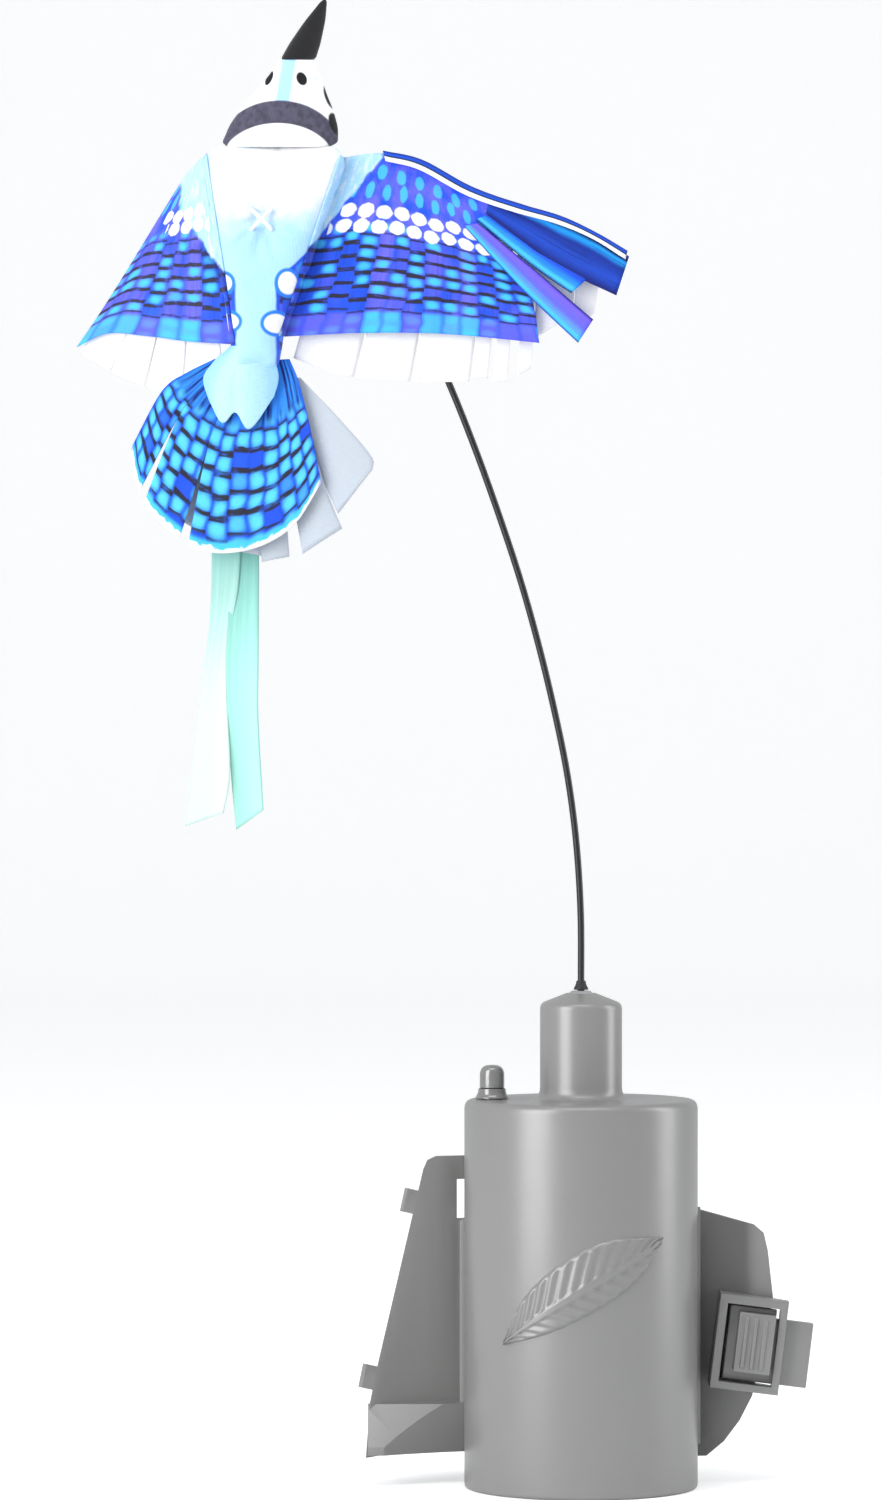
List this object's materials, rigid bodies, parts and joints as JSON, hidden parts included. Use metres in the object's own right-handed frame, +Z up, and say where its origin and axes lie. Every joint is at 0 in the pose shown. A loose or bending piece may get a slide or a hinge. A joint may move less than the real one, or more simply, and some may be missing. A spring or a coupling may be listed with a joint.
{
  "type": "motion wing decoy",
  "caption": "Battery tower with a spinning bent spring-steel whip that flutters a printed fabric bird with wings, tail and streamers; clip-on rear saddle with slide latch.",
  "frame": {"origin": "centre of the tower's base on the ground plane", "axes": "+Z up along the tower and spindle axis, -Y towards the front of the tower and bird, +X towards the slide latch"},
  "size_m": [0.222, 0.0942, 0.4449],
  "materials": {
    "grey_plastic": "satin moulded ABS, fine grain",
    "dark_plastic": "moulded, matte",
    "steel": "zinc plated",
    "brass": "machined",
    "white_nylon": "natural nylon",
    "cell_jacket": "shrink sleeve, plain",
    "board": "solder mask",
    "grey_rubber": "silicone, semi-gloss",
    "black_rubber": "matte",
    "black_wire": "black coated spring steel",
    "printed_cloth": "dye-printed polyester, matte weave",
    "white_cloth": "white polyester weave",
    "black_cloth": "black felt-like polyester",
    "mint_satin": "sheer satin ribbon"
  },
  "bodies": {
    "housing": {"tower_shell": "grey_plastic", "saddle": "grey_plastic", "saddle_screw_1": "steel", "saddle_screw_2": "steel", "saddle_screw_3": "steel", "saddle_screw_4": "steel", "deck": "dark_plastic", "deck_screw_1": "steel", "deck_screw_2": "steel", "deck_screw_3": "steel", "gearmotor_can": "steel", "gearmotor_gearbox": "brass", "lower_bush": "brass", "upper_bush": "brass", "control_board": "board", "switch_body": "dark_plastic", "button_collar": "grey_rubber", "cell_cradle": "dark_plastic", "cell_1": "cell_jacket", "cell_2": "cell_jacket", "cell_3": "cell_jacket", "cell_4": "cell_jacket", "contact_plate_bottom": "board", "contact_plate_top": "board", "contact_spring_1": "steel", "contact_spring_2": "steel", "contact_spring_3": "steel", "contact_spring_4": "steel", "latch_bezel": "grey_plastic", "feather_emblem": "grey_plastic"},
    "lid": {"base_lid": "grey_plastic"},
    "button": {"button_dome": "grey_rubber", "button_stem": "white_nylon", "button_spring": "steel"},
    "latch": {"latch_pad": "grey_plastic", "latch_bolt": "grey_plastic"},
    "pinion": {"pinion_shaft": "steel", "motor_pinion": "brass"},
    "whip": {"spindle": "steel", "spindle_wheel": "white_nylon", "chuck_screw": "steel", "whip_ferrule": "black_rubber", "whip_wire": "black_wire"},
    "bird": {"bird_body": "printed_cloth", "bird_head": "printed_cloth", "bird_beak": "black_cloth", "stitch_cross": "white_cloth"},
    "wing_left": {"wing_left_print": "printed_cloth", "wing_left_lining": "white_cloth", "wing_left_spar": "dark_plastic"},
    "wing_right": {"wing_right_print": "printed_cloth", "wing_right_lining": "white_cloth", "wing_right_spar": "dark_plastic"},
    "tail": {"tail_print": "printed_cloth", "tail_lining": "white_cloth"},
    "ribbon": {"ribbon_left": "mint_satin", "ribbon_right": "mint_satin"}
  },
  "joints": [
    {"name": "lid_twist", "type": "hinge", "parent": "housing", "child": "lid", "pos_m": [0, 0, 0.002], "axis": [0, 0, 1], "range_deg": [0, 45]},
    {"name": "button_press", "type": "slide", "parent": "housing", "child": "button", "axis": [0, 0, -1], "range_m": [0, 0.0015], "stiffness_N_per_m": 400, "deforming": ["button_spring"]},
    {"name": "latch_slide", "type": "slide", "parent": "housing", "child": "latch", "axis": [-0.9925, 0, 0.1219], "range_m": [0, 0.0035]},
    {"name": "whip_spin", "type": "hinge", "parent": "housing", "child": "whip", "pos_m": [0, 0, 0.12], "axis": [0, 0, 1], "continuous": true},
    {"name": "pinion_spin", "type": "hinge", "parent": "housing", "child": "pinion", "pos_m": [0.0168, 0, 0.105], "axis": [0, 0, 1], "continuous": true},
    {"name": "bird_tilt", "type": "hinge", "parent": "whip", "child": "bird", "pos_m": [-0.0957, -0.0054, 0.3785], "axis": [0, 1, 0], "range_deg": [-12, 12]},
    {"name": "wing_left_flap", "type": "hinge", "parent": "bird", "child": "wing_left", "pos_m": [-0.1095, -0.012, 0.37125], "axis": [-0.147, 0, 0.9891], "range_deg": [-12, 30], "stiffness_Nm_per_rad": 0.006},
    {"name": "wing_right_flap", "type": "hinge", "parent": "bird", "child": "wing_right", "pos_m": [-0.0788, -0.012, 0.371], "axis": [0.3225, 0, 0.9466], "range_deg": [-30, 5], "stiffness_Nm_per_rad": 0.006},
    {"name": "tail_flap", "type": "hinge", "parent": "bird", "child": "tail", "pos_m": [-0.097, -0.012, 0.3315], "axis": [1, 0, 0], "range_deg": [-30, 25], "stiffness_Nm_per_rad": 0.004},
    {"name": "ribbon_swing", "type": "hinge", "parent": "tail", "child": "ribbon", "pos_m": [-0.1034, -0.0066, 0.286], "axis": [1, 0, 0], "range_deg": [-8, 60]}
  ],
  "couplings": [
    {"joint": "pinion_spin", "follows": "whip_spin", "ratio": -3}
  ]
}
